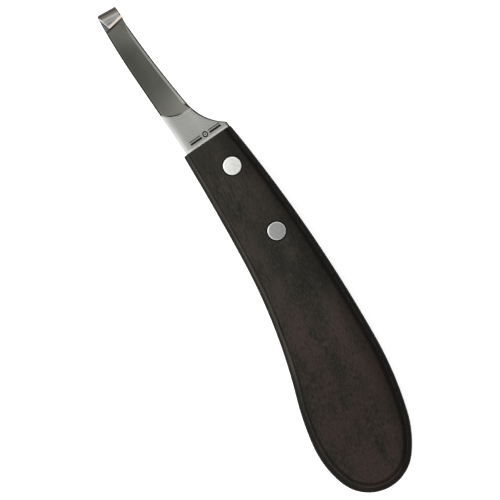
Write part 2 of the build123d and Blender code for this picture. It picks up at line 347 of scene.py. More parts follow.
class Shell:
    """Vertices and faces of one mesh, built row by row."""

    def __init__(self):
        self.spots, self.faces = [], []

    def row(self, points):
        first = len(self.spots)
        self.spots.extend(tuple(map(float, p)) for p in points)
        return list(range(first, len(self.spots)))

    def level(self, points, height):
        """A row of points given in X and Y, all at one height."""
        return self.row([(x, y, height) for x, y in points])

    def join(self, rows, closed=False):
        """Quads from row to row; their front is up where each row runs anticlockwise round the next."""
        for a, b in zip(rows, rows[1:]):
            for i in range(len(a) if closed else len(a) - 1):
                j = (i + 1) % len(a)
                self.faces.append((a[i], a[j], b[j], b[i]))

    def tube(self, rings):
        """Joins closed rows, which run anticlockwise as seen from the last one, and closes both ends."""
        self.join(rings, closed=True)
        self.faces += [tuple(reversed(rings[0])), tuple(rings[-1])]

    def fill(self, loop, holes, radius, height, spacing, upward=True):
        """Triangles over a level region: all inside a loop of vertices but the rivets' round holes."""
        known = loop + [index for hole in holes for index in hole]
        edge = np.array([self.spots[i][:2] for i in known]) / MM
        outline = edge[:len(loop)]
        room = ROOM * spacing

        def in_hole(spot):
            return any(math.dist(spot, centre / MM) < radius / MM for centre in RIVETS.values())

        low, high = outline.min(0), outline.max(0)
        rows = np.arange(low[1], high[1], spacing * math.sqrt(0.75))
        grid = np.array([
            (x + (k % 2) * spacing / 2, y)
            for k, y in enumerate(rows)
            for x in np.arange(low[0], high[0], spacing)
        ])
        grid = [
            spot for spot in grid[inside(grid, outline)]
            if np.linalg.norm(edge - spot, axis=1).min() > room and not in_hole(spot)
        ]
        constraints, first = [], 0
        for ring in [loop] + holes:
            constraints += [(first + i, first + (i + 1) % len(ring)) for i in range(len(ring))]
            first += len(ring)
        flat = [Vector(spot) for spot in [*edge, *grid]]
        made, _, triangles, origins, _, _ = geometry.delaunay_2d_cdt(flat, constraints, [], 1, 1e-7)
        index = {}
        for k, sources in enumerate(origins):
            source = min(sources) if sources else len(flat)
            if source < len(known):
                index[k] = known[source]
            else:
                index[k] = self.row([(made[k].x * MM, made[k].y * MM, height)])[0]
        for a, b, c in triangles:
            if in_hole((made[a] + made[b] + made[c]) / 3):
                continue
            turn = (made[b] - made[a]).cross(made[c] - made[a])
            ordered = (a, b, c) if (turn > 0) == upward else (a, c, b)
            self.faces.append(tuple(index[k] for k in ordered))

    def mirror(self, height):
        """Adds the mirror image across a level plane, sharing the vertices that lie on it."""
        twin = {}
        for i, (x, y, z) in enumerate(list(self.spots)):
            twin[i] = i if abs(z - height) < ON_PLANE else self.row([(x, y, 2 * height - z)])[0]
        self.faces += [tuple(twin[i] for i in reversed(face)) for face in self.faces]

    def piece(self, name, crease=CREASE):
        mesh = bpy.data.meshes.new(name)
        mesh.from_pydata(self.spots, [], self.faces)
        mesh.validate()
        mesh.shade_smooth()
        mesh.set_sharp_from_angle(angle=math.radians(crease))
        return add_object(name, mesh)


# -------- handle

def inward_normals(line):
    """Unit normals to the left of the line, turned square to the front face at its two ends."""
    ahead = np.gradient(line, axis=0)
    ahead /= np.linalg.norm(ahead, axis=1)[:, None]
    normals = np.stack([-ahead[:, 1], ahead[:, 0]], axis=1)
    away = (FRONT_EDGE - line[:, 0]) / SQUARE_OVER
    square = np.clip(1 - away, 0, 1)[:, None]
    straight = np.stack([np.zeros(len(line)), np.sign(normals[:, 1])], axis=1)
    normals = normals * (1 - square) + straight * square
    return normals / np.linalg.norm(normals, axis=1)[:, None]


def round_over(shell, line):
    """Rows of the routed edge, from the top of the handle's side up to its flat."""
    width = np.interp(np.linspace(0, 1, len(line)), ROUND_PLACES, ROUND_WIDTHS) * MM
    window = np.hanning(ROUND_WINDOW) / np.hanning(ROUND_WINDOW).sum()
    width = np.convolve(np.pad(width, ROUND_WINDOW // 2, mode="edge"), window, mode="valid")
    normals = inward_normals(line)
    rings = []
    for angle in np.linspace(0, math.pi / 2, ROUND_ROWS + 1):
        flat = line + normals * (width * (1 - math.cos(angle)))[:, None]
        rings.append(shell.level(flat, TOP - EDGE_DROP * (1 - math.sin(angle))))
    shell.join(rings)
    return rings


def kerf_end(shell, line, lip):
    """The wall behind the kerf and the kerf's round end. Returns the outline of the kerf's upper face."""
    saw_centre = np.array([FRONT - KERF_DEPTH + SAW_RADIUS, AXIS_Y + SAW_OFFSET])
    behind = np.flatnonzero(np.linalg.norm(line - saw_centre, axis=1) >= SAW_RADIUS)
    begin, end = behind[0], behind[-1] + 1
    middle_row = shell.level(line[begin:end], MIDDLE)
    shell.join([middle_row, lip[begin:end]])
    angles = [math.atan2(*(line[i] - saw_centre)[::-1]) % (2 * math.pi) for i in (begin, end - 1)]
    sweep = np.linspace(*angles, SAW_STEPS)[1:-1]
    arc = saw_centre + SAW_RADIUS * np.stack([np.cos(sweep), np.sin(sweep)], axis=1)
    upper = [lip[begin]] + shell.level(arc, KERF_HIGH) + [lip[end - 1]]
    lower = [middle_row[0]] + shell.level(arc, MIDDLE) + [middle_row[-1]]
    shell.join([upper, lower])
    return lip[:begin] + upper + lip[end:]


def front_row(shell, first_y, last_y, steps, height):
    """A row across the front, between two vertices that are there already."""
    across = np.linspace(first_y, last_y, steps)[1:-1]
    return shell.level([(FRONT_EDGE, y) for y in across], height)


def rivet_pocket(shell, centre):
    """A counterbore with an eased edge, and the bore down to the kerf. Returns the top and bottom rims."""
    sizes = [(POCKET + POCKET_EASE, TOP)]
    for angle in np.radians([30, 60, 90]):
        radius = POCKET + POCKET_EASE * (1 - math.sin(angle))
        sizes.append((radius, TOP - POCKET_EASE * (1 - math.cos(angle))))
    sizes += [(POCKET, TOP - POCKET_DEPTH), (BORE, TOP - POCKET_DEPTH), (BORE, KERF_HIGH)]
    rings = [shell.row(circle(centre, radius, height)) for radius, height in sizes]
    shell.join(rings, closed=True)
    return rings[0], rings[-1]


def upper_half(shell):
    """Everything of the handle above its middle plane."""
    line = wall_line()
    rings = round_over(shell, line)
    heights = np.linspace(TOP - EDGE_DROP, KERF_HIGH, WALL_ROWS)[1:]
    walls = [rings[0]] + [shell.level(line, height) for height in heights]
    shell.join(walls[::-1])
    kerf = kerf_end(shell, line, walls[-1])

    flat_from, flat_to = (shell.spots[rings[-1][end]][1] for end in (0, -1))
    front_flat = front_row(shell, flat_from, flat_to, FLAT_STEPS, TOP)
    front_kerf = front_row(shell, line[-1][1], line[0][1], KERF_STEPS, KERF_HIGH)

    tops, ends = map(list, zip(*(rivet_pocket(shell, centre) for centre in RIVETS.values())))
    shell.fill(rings[-1] + front_flat[::-1], tops, POCKET + POCKET_EASE, TOP, FLAT_SPACING)
    shell.fill(kerf + front_kerf, ends, BORE, KERF_HIGH, KERF_SPACING, upward=False)

    section = [row[0] for row in walls[::-1]] + [ring[0] for ring in rings[1:]]
    section += front_flat
    section += [ring[-1] for ring in rings[::-1]] + [row[-1] for row in walls[1:]]
    kerf_corners = (section[0], section[-1])
    section += front_kerf
    ease_front(shell, section, set(front_kerf), kerf_corners)


def ease_front(shell, section, kerf_edge, kerf_corners):
    """Rounds the front face's edge over and closes the face."""
    base = np.array([shell.spots[i] for i in section])
    ahead = np.roll(base, -1, axis=0) - np.roll(base, 1, axis=0)
    inward = np.stack([np.zeros(len(base)), -ahead[:, 2], ahead[:, 1]], axis=1)
    inward /= np.linalg.norm(inward, axis=1)[:, None]
    offset = inward * FRONT_EASE
    lip = FRONT_EASE / 4
    for k, index in enumerate(section):
        if index in kerf_edge:
            offset[k] = 0, 0, lip
        if index in kerf_corners:
            offset[k] = 0, math.copysign(FRONT_EASE, inward[k][1]), lip
    rings = [section]
    for angle in np.radians([22.5, 45, 67.5, 90]):
        forward = np.array([FRONT_EASE * math.sin(angle), 0, 0])
        rings.append(shell.row(base + offset * (1 - math.cos(angle)) + forward))
    shell.join(rings, closed=True)
    shell.faces.append(tuple(rings[-1]))


def chip_front(shell):
    """Knocks a small chip out of the front's upper edge."""
    for i, (x, y, z) in enumerate(shell.spots):
        beside = (y - AXIS_Y - CHIP_Y) / CHIP_HALF
        below = (TOP - z) / CHIP_DEEP
        if x > FRONT - 2 * FRONT_EASE and below < 1 and abs(beside) < 1:
            shell.spots[i] = (x - CHIP_DEEP * (1 - beside ** 2) * (1 - below), y, z)


def make_handle():
    shell = Shell()
    upper_half(shell)
    shell.mirror(MIDDLE)
    chip_front(shell)
    handle = shell.piece("handle_wood")
    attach(handle, "root")
    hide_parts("handle")
    return handle


# -------- blade

def left_of(direction):
    return np.array([-direction[1], direction[0]])


def arc_through(start, heading, end):
    """Centre and radius of the circle that leaves start along heading and passes through end."""
    start, chord = np.array(start), np.array(end) - np.array(start)
    radius = chord @ chord / (2 * chord @ left_of(heading))
    return start + radius * left_of(heading), abs(radius)


def above(x, centre, radius):
    """Y of a circle's upper half at X."""
    return centre[1] + np.sqrt(np.maximum(radius ** 2 - (x - centre[0]) ** 2, 0))


def tang_half_width(x):
    return np.sqrt(np.maximum(TANG_HALF ** 2 - np.minimum(x - TANG_ROUND_X, 0) ** 2, 0))


def edge_line(x):
    """Y of the blade's outline on the edge's side."""
    heading = np.array([math.cos(EDGE_HEADING), math.sin(EDGE_HEADING)])
    edge = above(x, *arc_through(EDGE_START, heading, EDGE_END))
    edge = edge + (HOOK_Y - edge) * smooth(x, EDGE_END[0], EDGE_END[0] + HOOK_EASE)
    flare_centre = np.array(EDGE_START) + FLARE_RADIUS * left_of(-heading)
    flare = np.maximum(above(np.minimum(x, EDGE_START[0]), flare_centre, FLARE_RADIUS), RICASSO_Y)
    tang = TANG_Y - tang_half_width(x)
    slope = np.clip((x - TANG_STEP_X) / (SHOULDER_X - TANG_STEP_X), 0, 1)
    tang = tang + (RICASSO_Y - tang) * slope
    return np.where(x > EDGE_START[0], edge, np.where(x > SHOULDER_X, flare, tang))


def spine_line(x):
    """Y of the blade's outline on the spine's side."""
    bend = (SPINE_STRAIGHT_END, SPINE_Y - SPINE_RADIUS)
    spine = np.where(x > SPINE_STRAIGHT_END, above(x, bend, SPINE_RADIUS), SPINE_Y)
    corner = (SHOULDER_X - SHOULDER_RADIUS, SPINE_Y)
    shoulder = 2 * SPINE_Y - above(np.minimum(x, SHOULDER_X), corner, SHOULDER_RADIUS)
    tang = TANG_Y + tang_half_width(x)
    return np.where(x > SHOULDER_X, spine, np.where(x > corner[0], shoulder, tang))


# Centres of the bow and the curl in XZ, and the angle about them and the run at which the curl begins
BOW_CENTRE = np.array([BOW_START, BLADE_BOTTOM + BOW_RADIUS])
CURL_Z = BOW_CENTRE[1] - math.sqrt((BOW_RADIUS - CURL_OUTER) ** 2 - (CURL_X - BOW_START) ** 2)
CURL_CENTRE = np.array([CURL_X, CURL_Z])
CURL_FROM = math.atan2(*(CURL_CENTRE - BOW_CENTRE)[::-1])
CURL_START = BOW_START + (CURL_FROM + math.pi / 2) * BOW_RADIUS
BEND_LINE = np.array([math.sin(SKEW), math.cos(SKEW), 0.0])


def underside(run):
    """Point and upward normal, in XZ, at a run along the underside from the handle's front face."""
    bow = np.clip((run - BOW_START) / BOW_RADIUS, 0, None)
    turned = CURL_FROM + (run - CURL_START) / CURL_OUTER
    angle = np.where(run > CURL_START, turned, bow - math.pi / 2)
    ray = np.stack([np.cos(angle), np.sin(angle)], axis=-1)
    point = BOW_CENTRE + BOW_RADIUS * ray
    point[..., 0] += np.minimum(run - BOW_START, 0)
    curled = (run > CURL_START)[..., None]
    return np.where(curled, CURL_CENTRE + CURL_OUTER * ray, point), -ray


def ground_thickness(run):
    """Thickness from the underside to the ground face."""
    inner = CURL_CENTRE + CURL_INNER * np.array([math.cos(CURL_FROM), math.sin(CURL_FROM)])
    back = np.array([math.sin(CURL_FROM), -math.cos(CURL_FROM)])
    start = (GROUND_FROM[0], BLADE_BOTTOM + GROUND_FROM[1])
    centre, radius = arc_through(inner, back, start)
    point, normal = underside(np.minimum(run, CURL_START))
    away = point - centre
    along = (away * normal).sum(-1)
    return -along - np.sqrt(along ** 2 - (away ** 2).sum(-1) + radius ** 2)


def plunge_shift(run, y, across):
    """How far a crosswise row is slid along the blade, so that rows near the plunge follow its arc."""
    reach = np.sqrt(np.maximum(PLUNGE_RADIUS ** 2 - (y - PLUNGE[1]) ** 2, 1.0))
    arc = PLUNGE[0] - reach - across * BEND_LINE[0] - PLUNGE_START
    return arc * (1 - smooth(abs(run - PLUNGE_START), *PLUNGE_REACH))


def flap_end_run(across, height):
    """Run at which a line along the curl, at a height inside it, meets the cut at its free end."""
    upper = FLAP_END_X - FLAP_SLANT * across * BEND_LINE[1]
    end = upper - FLAP_BEVEL * height / (CURL_OUTER - CURL_INNER)
    angle = np.arccos((end - CURL_X - across * BEND_LINE[0]) / (CURL_OUTER - height))
    return CURL_START + (angle - CURL_FROM) * CURL_OUTER


def blade_section(run):
    """One closed section, as five rows of numbers with a column for each of its points.

    They are its share of the width, from edge to spine, its insets from the outline at the edge and at the
    spine, its side, 1 for upper and 0 for lower, and its depth from that side.
    """
    ground = float(smooth(run, *GROUND_RUNS))
    bevel = float(smooth(run, *BEVEL_RUNS) * (1 - smooth(run, *BEVEL_END_RUNS)))
    curl = float(smooth(run, *CURL_RUNS))
    tang = float(1 - smooth(run, *TANG_RUNS))
    wide, top = (between(*sizes, ground) for sizes in zip(*SPINE_ROUNDS))
    wide, top = (between(size, CURL_ROUND, curl) for size in (wide, top))
    wide, top, low = (between(size, TANG_ROUND, tang) for size in (wide, top, LOWER_ROUND))
    face = between(*FACE_INSETS, bevel)
    quarter = np.linspace(0, math.pi / 2, ROUND_POINTS)

    edge_corner = [
        (0, EDGE_EASE * (1 - math.sin(angle)), 0, 0, EDGE_EASE * (1 - math.cos(angle)))
        for angle in quarter[::3]
    ]
    bevelled_side = [
        (0, 0, 0, 1 - bevel, EDGE_LIP),
        (0, between(*CORNER_INSETS, bevel), 0, 1, between(*CORNER_DEPTHS, bevel)),
    ]
    upper_face = [(share, face, wide, 1, 0) for share in np.linspace(0, 1, UPPER_POINTS)]
    spine_top = [(1, 0, wide * (1 - math.sin(a)), 1, top * (1 - math.cos(a))) for a in quarter[1:]]
    spine_low = [(1, 0, low * (1 - math.sin(a)), 0, low * (1 - math.cos(a))) for a in quarter[::-1]]
    lower_face = [(share, EDGE_EASE, low, 0, 0) for share in np.linspace(1, 0, LOWER_POINTS)[1:-1]]
    return np.array(edge_corner + bevelled_side + upper_face + spine_top + spine_low + lower_face).T


def blade_row(run, curl_share):
    """Points of one section of the blade, in millimetres from the front face, the axis and the table.

    The section is at a run, or, where a share of the curl is given, at that share of the way to its end.
    """
    share, inset_edge, inset_spine, upper, depth = blade_section(run)
    across = TANG_Y + 2 * TANG_HALF * (share - 0.5)
    height = np.zeros_like(share)
    for _ in range(FITTING_ROUNDS):
        y = across * BEND_LINE[1]
        if curl_share is None:
            place = run + plunge_shift(run, y, across)
        else:
            place = CURL_START + curl_share * (flap_end_run(across, height) - CURL_START)
        point, normal = underside(place)
        spot = point + height[:, None] * normal
        x = spot[:, 0] + across * BEND_LINE[0]
        radius = np.hypot(x - PLUNGE[0], y - PLUNGE[1])
        wall = smooth(PLUNGE_RADIUS - radius, -PLUNGE_WALL / 2, PLUNGE_WALL / 2)
        wall = np.where(x > PLUNGE[0], 1, wall)
        thick = STOCK + wall * (ground_thickness(place) - STOCK)
        hollow = HOLLOW * wall * 4 * share * (1 - share) * (1 - smooth(place, *HOLLOW_END_RUNS))
        top = thick - depth - hollow * (upper == 1)
        height = upper * top + (1 - upper) * depth
        low, high = edge_line(x), spine_line(x)
        if curl_share is not None:
            taper = FLAP_SIDE[1] + (x - FLAP_SIDE[0]) * FLAP_LEAN
            high = np.where(spot[:, 1] > CURL_Z, np.minimum(high, taper), high)
        low = low / BEND_LINE[1] + inset_edge
        high = high / BEND_LINE[1] - inset_spine
        across = 0.5 * across + 0.5 * (low + share * (high - low))
    return np.stack([x, across * BEND_LINE[1], spot[:, 1]], axis=1)


def blade_runs():
    """Runs of the sections from the tang's round end to the curl, closest together at the plunge."""
    end_angles = np.linspace(0.12, math.pi / 2, 14)
    tang_end = TANG_ROUND_X - TANG_Y * BEND_LINE[0] - TANG_HALF * np.cos(end_angles)
    spans = (  # first and last run of each stretch, and its spacing
        (TANG_ROUND_X + 5, -10, 5),
        (-10, -1.5, 0.5),
        (-1.5, PLUNGE_START - 0.6, 0.45),
        (PLUNGE_START - 0.6, PLUNGE_START + 0.6, 0.08),
        (PLUNGE_START + 0.6, 20, 0.4),
        (20, CURL_START - 0.3, 0.6),
    )
    return np.concatenate([tang_end] + [np.arange(*span) for span in spans])


def make_blade():
    """Tang, ricasso, ground blade and curl, lofted from sections and drilled for the rivets."""
    shell = Shell()
    origin = np.array([FRONT, AXIS_Y, 0])
    rows = [shell.row(origin + blade_row(run, None) * MM) for run in blade_runs()]
    for share in np.linspace(0, 1, CURL_ROWS):
        rows.append(shell.row(origin + blade_row(CURL_START + CURL_LENGTH * share, share) * MM))
    shell.tube(rows[::-1])
    blade = shell.piece("blade_steel", BLADE_CREASE)
    drill(blade)
    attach(blade, "root")
    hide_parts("blade")
    return blade


def drill(blade):
    """Cuts the rivet holes through the tang."""
    cutter = Shell()
    for centre in RIVETS.values():
        cutter.tube([cutter.row(circle(centre, BORE, height)) for height in (0, 2 * MIDDLE)])
    tool = cutter.piece("drill")
    cut = blade.modifiers.new("drill", "BOOLEAN")
    cut.object = tool
    cut.solver = "EXACT"
    drilled = bpy.data.meshes.new_from_object(blade.evaluated_get(bpy.context.evaluated_depsgraph_get()))
    blade.modifiers.clear()
    blade.data = drilled
    bpy.data.objects.remove(tool)


# -------- rivets

def rounded_head(face, radius, crown, up):
    """Profile of a rivet's head from the axis out to its side: a faint crown and a rounded rim."""
    flat = radius - HEAD_ROUND
    points = [(r, face - up * crown * (r / flat) ** 2) for r in np.linspace(CAP, flat, 8)]
    for angle in np.linspace(0, math.pi / 2, 6)[1:]:
        depth = HEAD_ROUND * HEAD_FLATTENED * (1 - math.cos(angle))
        points.append((flat + HEAD_ROUND * math.sin(angle), face - up * (crown + depth)))
    return points


def turn(place, half, profile):
    """A turned piece about a rivet's axis, from its profile in millimetres, closed at both ends."""
    shell = Shell()
    rings = [shell.row(circle(RIVETS[place], r * MM, z * MM)) for r, z in profile]
    shell.tube(rings if half == "female" else rings[::-1])
    node = f"{place}_rivet_{half}"
    piece = shell.piece(f"{node}_metal", RIVET_CREASE)
    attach(piece, "root")
    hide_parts(node)
    return piece


def make_rivets():
    pieces = []
    for place, crown in CROWNS:
        low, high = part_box(f"{place}_rivet_male")
        radius = (high.x - low.x) / 2 / MM
        face, seat, end = high.z / MM, high.z / MM - HEAD_THICK, low.z / MM
        male = rounded_head(face, radius, crown, 1)
        male += [(radius, seat), (SHANK, seat), (SHANK, end + SHANK_EASE), (SHANK - SHANK_EASE, end)]
        pieces.append(turn(place, "male", male))
        low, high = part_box(f"{place}_rivet_female")
        face, seat, end = low.z / MM, low.z / MM + HEAD_THICK, high.z / MM
        female = rounded_head(face, radius, crown, -1)
        female += [(radius, seat), (TUBE, seat), (TUBE, end - TUBE_EASE), (TUBE - TUBE_EASE, end)]
        female += [(SHANK + TUBE_EASE, end), (SHANK, end - TUBE_EASE)]
        female += [(SHANK, TUBE_FLOOR), (CAP, TUBE_FLOOR)]
        pieces.append(turn(place, "female", female))
    return pieces


# -------- materials

class Graph:
    """A node tree. The values given to its functions are numbers or sockets of other nodes."""

    def __init__(self, tree):
        self.tree = tree

    def put(self, socket, value):
        if isinstance(value, bpy.types.NodeSocket):
            self.tree.links.new(value, socket)
        else:
            socket.default_value = value

    def node(self, kind, *values, settings=None, **inputs):
        """A new node. The values go to its first inputs in order, the others to its inputs by name."""
        made = self.tree.nodes.new(kind)
        for key, value in (settings or {}).items():
            setattr(made, key, value)
        for socket, value in zip(made.inputs, values):
            self.put(socket, value)
        for key, value in inputs.items():
            self.put(made.inputs[key], value)
        return made

    def math(self, operation, *values):
        return self.node("ShaderNodeMath", *values, settings={"operation": operation}).outputs[0]

    def minus(self, a, b):
        return self.math("SUBTRACT", a, b)

    def linear(self, value, factor, offset):
        return self.math("MULTIPLY_ADD", value, factor, offset)

    def polynomial(self, value, factors):
        """Polynomial of a value, highest power's factor first."""
        total = float(factors[0])
        for factor in factors[1:]:
            total = self.linear(total, value, float(factor))
        return total

    def chain(self, operation, values):
        return functools.reduce(functools.partial(self.math, operation), values)

    def product(self, *values):
        return self.chain("MULTIPLY", values)

    def sum(self, *values):
        return self.chain("ADD", values)

    def greatest(self, *values):
        return self.chain("MAXIMUM", values)

    def ramp(self, value, low, high, to_low=0.0, to_high=1.0):
        """Smooth step of a value from low to high."""
        ends = (low, high, to_low, to_high)
        smooth_step = {"interpolation_type": "SMOOTHSTEP"}
        return self.node("ShaderNodeMapRange", value, *ends, settings=smooth_step).outputs[0]

    def band(self, value, low_gone, low_full, high_full, high_gone):
        """1 between the two middle limits, and smoothly down to 0 at the outer ones."""
        return self.product(self.ramp(value, low_gone, low_full), self.ramp(value, high_gone, high_full))

    def vector(self, operation, *values, **inputs):
        made = self.node("ShaderNodeVectorMath", *values, settings={"operation": operation}, **inputs)
        return made.outputs["Value" if operation in ("LENGTH", "DOT_PRODUCT") else "Vector"]

    def combine(self, x=0.0, y=0.0, z=0.0):
        return self.node("ShaderNodeCombineXYZ", x, y, z).outputs[0]

    def mix(self, factor, a, b):
        made = self.node("ShaderNodeMix", factor, settings={"data_type": "RGBA"})
        for socket, value in ((made.inputs[6], a), (made.inputs[7], b)):
            self.put(socket, (*value, 1.0) if isinstance(value, tuple) else value)
        return made.outputs[2]

    def coats(self, colour, *coats):
        """Lays coats over a colour, one after the other. Each is a mask and the coat's own colour."""
        for mask, coat in coats:
            colour = self.mix(mask, colour, coat)
        return colour


class Material(Graph):
    """A procedural material, with places in millimetres in the knife's frame."""

    def __init__(self, name):
        self.material = bpy.data.materials.new(name)
        self.material.use_nodes = True
        super().__init__(self.material.node_tree)
        spot = self.node("ShaderNodeTexCoord").outputs["Object"]
        self.place = self.vector("SCALE", spot, Scale=1 / MM)
        self.x, self.y, self.z = self.node("ShaderNodeSeparateXYZ", self.place).outputs

    def shader(self, **inputs):
        """Gives inputs of the shader their values, with _ for a space in a name."""
        shader = self.tree.nodes["Principled BSDF"]
        for key, value in inputs.items():
            self.put(shader.inputs[key.replace("_", " ")], value)

    def normal(self):
        """The three components of the surface's normal."""
        normal = self.node("ShaderNodeNewGeometry").outputs["Normal"]
        return self.node("ShaderNodeSeparateXYZ", normal).outputs

    def distance_from(self, x, y):
        """Distance from a point, seen from above."""
        flat_place = self.vector("MULTIPLY", self.place, (1.0, 1.0, 0.0))
        return self.vector("LENGTH", self.vector("SUBTRACT", flat_place, (x, y, 0.0)))

    def noise(self, stretch, detail=3.0, roughness=0.55, shift=None, place=None):
        """Noise whose features are about one over stretch millimetres long each way."""
        spot = self.vector("MULTIPLY", place or self.place, stretch)
        if shift is not None:
            spot = self.vector("ADD", spot, shift)
        made = self.node("ShaderNodeTexNoise", Vector=spot, Scale=1.0, Detail=detail, Roughness=roughness)
        return made.outputs["Fac"]

    def bump(self, height, depth, strength):
        """Height from 0 to 1, standing for that many millimetres."""
        made = self.node("ShaderNodeBump", Height=height, Distance=depth * MM, Strength=strength)
        return made.outputs["Normal"]


def back_curve():
    """Polynomial for the Y of the handle's back along X, in millimetres, with X divided by BACK_SCALE."""
    line = wall_line() / MM
    back = line[np.argmin(line[:, 0]) + BACK_SKIP:]
    return np.polyfit(back[:, 0] / BACK_SCALE, back[:, 1], BACK_DEGREE)


def grain_noises(g, layer):
    """Noises of the grain, which runs at GRAIN_TURN, sways, and differs from layer to layer."""
    shift = g.combine(*(g.product(layer, amount) for amount in VENEER_SHIFT))
    about_z = {"rotation_type": "Z_AXIS"}
    grain = g.node("ShaderNodeVectorRotate", settings=about_z, Vector=g.place, Angle=GRAIN_TURN).outputs[0]
    sway = g.linear(g.noise((0.03, 0.08, 0.05), 2, place=grain), 4.0, -2.0)
    grain = g.vector("ADD", grain, g.combine(y=sway))
    return [g.noise(*look, shift, grain) for look in GRAIN_NOISES]


def grain_colour(g, fibre, fine, flecks, mottle, patch):
    """Colour of the flats: streaks and pores, redder and stronger at the butt, with painted shade along
    the back.
    """
    streaks = g.linear(mottle, 0.8, g.product(fibre, 0.4))
    at_butt = g.ramp(g.x, -5.0, -62.0, -0.06, 0.12)
    redness = g.ramp(g.sum(g.linear(fibre, 0.3, mottle), at_butt), 0.58, 0.9)
    bulb = g.ramp(g.x, -5.0, -60.0)
    front = FRONT / MM
    from_back = g.minus(g.y, g.polynomial(g.math("DIVIDE", g.x, BACK_SCALE), back_curve()))
    # painted shade towards the back, the side away from the light
    back_shade = g.product(g.ramp(from_back, 11.0, 2.5, 0.0, 0.55), g.ramp(g.x, -95.0, -70.0, 0.5, 1.0))
    return g.coats(
        g.mix(g.ramp(streaks, 0.45, 0.75), DARK_GRAIN, OLIVE_GRAIN),
        (g.product(redness, g.ramp(patch, 0.3, 0.6, 0.4, 0.85)), RED_GRAIN),
        (g.ramp(patch, 0.52, 0.36, 0.0, 0.6), DARK_GRAIN),
        (g.ramp(flecks, 0.56, 0.72, 0.0, 0.4), PORE_AND_SHADE),
        (g.ramp(fine, 0.5, 0.7, 0.0, g.linear(bulb, 0.25, 0.75)), CUT_VENEER),
        (g.ramp(fine, 0.45, 0.3, 0.0, g.linear(bulb, 0.45, 0.4)), PORE_AND_SHADE),
        (g.ramp(g.x, -30.0, -75.0, 0.0, 0.22), PORE_AND_SHADE),  # the butt is darker
        (g.ramp(g.x, front - 16.0, front - 2.0, 0.0, 0.35), OLIVE_GRAIN),  # and the front lighter
        (back_shade, PORE_AND_SHADE),
    )


def wood_material():
    """Dyed hardwood veneers pressed together with resin, cut through by the round-overs."""
    g = Material("laminated_wood")
    depth = g.math("MINIMUM", g.z, g.minus(TOP / MM, g.z))  # below the nearer flat
    wander = g.linear(g.noise((0.05, 0.2, 0.05), 2), 0.16, 0.02)
    level = g.math("DIVIDE", g.sum(depth, wander), VENEER)
    layer = g.math("FLOOR", level)
    share = g.math("FRACT", level)
    tone = g.node("ShaderNodeTexWhiteNoise", settings={"noise_dimensions": "1D"}, W=layer).outputs["Value"]
    fibre, fine, flecks, mottle, patch = grain_noises(g, layer)
    _, ny, nz = g.normal()

    # dark line where the round-over meets the flat, and the glue and the lighter wood of each cut veneer
    line = g.product(g.band(depth, 0.03, 0.14, 0.24, 0.55), 0.7)
    cut_edge = g.ramp(depth, 0.3, 0.6)
    glue = g.product(g.band(share, 0.0, 0.06, 0.18, 0.3), cut_edge, 0.8)
    rounded = g.ramp(g.math("ABSOLUTE", nz), 0.03, 0.14)
    lighter = g.product(
        g.ramp(share, 0.3, 0.5), g.linear(tone, 0.4, 0.05), g.linear(rounded, -0.7, 1.0), cut_edge,
    )
    # painted shade: the sides are darker than the flats, and the back's round-over, on the side away from
    # the light, is dark right up to the flat
    shade = g.product(g.ramp(depth, 0.04, 0.35, 0.0, 0.85), g.ramp(ny, -0.05, -0.3))
    shade = g.greatest(shade, g.ramp(depth, 0.3, 1.5, 0.2, 0.97))
    shade = g.product(shade, g.linear(rounded, 0.4, 0.6))
    # scuffs along the back, and lighter stripes of the veneers along the hollow side, a painted sheen
    # where that side faces the light
    scuff = g.product(
        g.band(depth, 0.66, 0.74, 0.8, 0.9), g.ramp(ny, -0.2, -0.4), g.ramp(fine, 0.4, 0.55, 0.0, 0.45),
    )
    stripes = g.noise((0.04, 0.0, 8.0), 2, 0.5, place=g.combine(x=g.x, z=depth))
    sheen_stripes = g.product(
        g.band(depth, 0.2, 0.3, 0.85, 1.15), g.ramp(ny, 0.1, 0.5), g.ramp(g.x, -66.0, -44.0),
        g.ramp(stripes, 0.42, 0.58, 0.05, 0.75),
    )
    colour = g.coats(
        grain_colour(g, fibre, fine, flecks, mottle, patch),
        (line, PORE_AND_SHADE),
        (glue, PORE_AND_SHADE),
        (lighter, CUT_VENEER),
        (shade, PORE_AND_SHADE),
        (scuff, CUT_VENEER),
        (sheen_stripes, CUT_VENEER),
        # painted shade in the gap round each rivet's head
        *((g.ramp(g.distance_from(*rivet / MM), *GAP_SHADE_RADII), GAP_SHADE) for rivet in RIVETS.values()),
    )
    rough = g.sum(g.ramp(fibre, 0.3, 0.7, 0.55, 0.45), g.ramp(flecks, 0.56, 0.7, 0.0, 0.15))
    height = g.minus(g.product(fibre, 0.6), g.ramp(flecks, 0.56, 0.7))
    g.shader(Base_Color=colour, Roughness=rough, Normal=g.bump(height, 0.03, 0.6))
    g.shader(Specular_IOR_Level=0.03)
    return g.material


